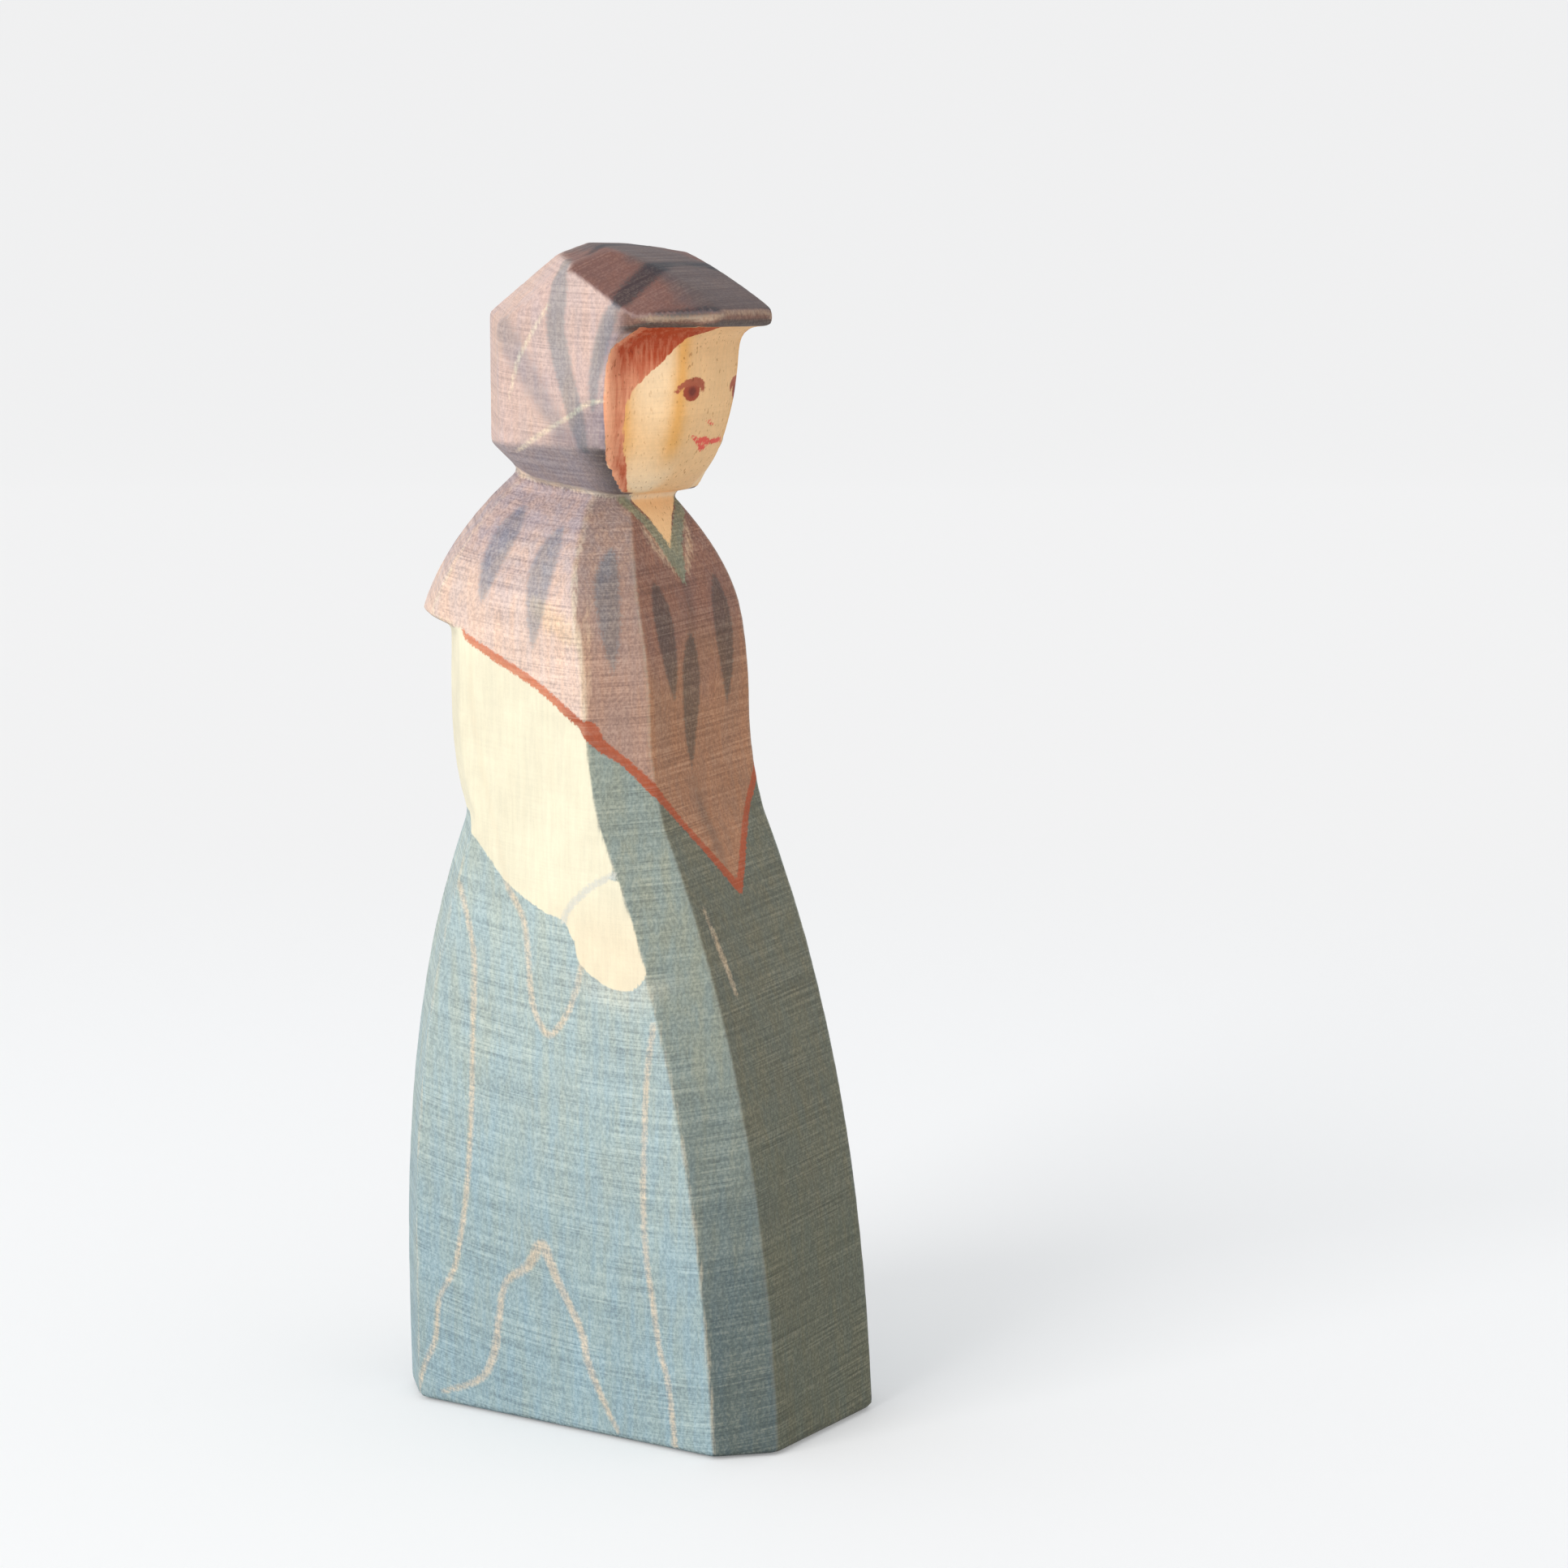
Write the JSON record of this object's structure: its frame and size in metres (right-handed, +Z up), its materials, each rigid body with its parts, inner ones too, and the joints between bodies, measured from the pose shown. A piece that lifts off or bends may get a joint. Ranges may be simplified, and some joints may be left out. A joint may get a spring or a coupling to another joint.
{
  "type": "carved wooden toy figure",
  "caption": "Standing toy figure of a woman in a headscarf, shawl and long skirt, carved from one block of pale wood and stained; it stands on its flat foot.",
  "frame": {"origin": "middle of the footprint, on the surface that the figure stands on", "axes": "+Z up through the head, the figure looks along -Y, its own right side is at -X and its width lies along X"},
  "size_m": [0.0276, 0.0468, 0.12],
  "materials": {
    "stained_wood": "thin water stain in zones over bare sanded wood, waxed, matt to satin"
  },
  "bodies": {
    "root": {"carved_figure": "stained_wood"}
  },
  "joints": []
}
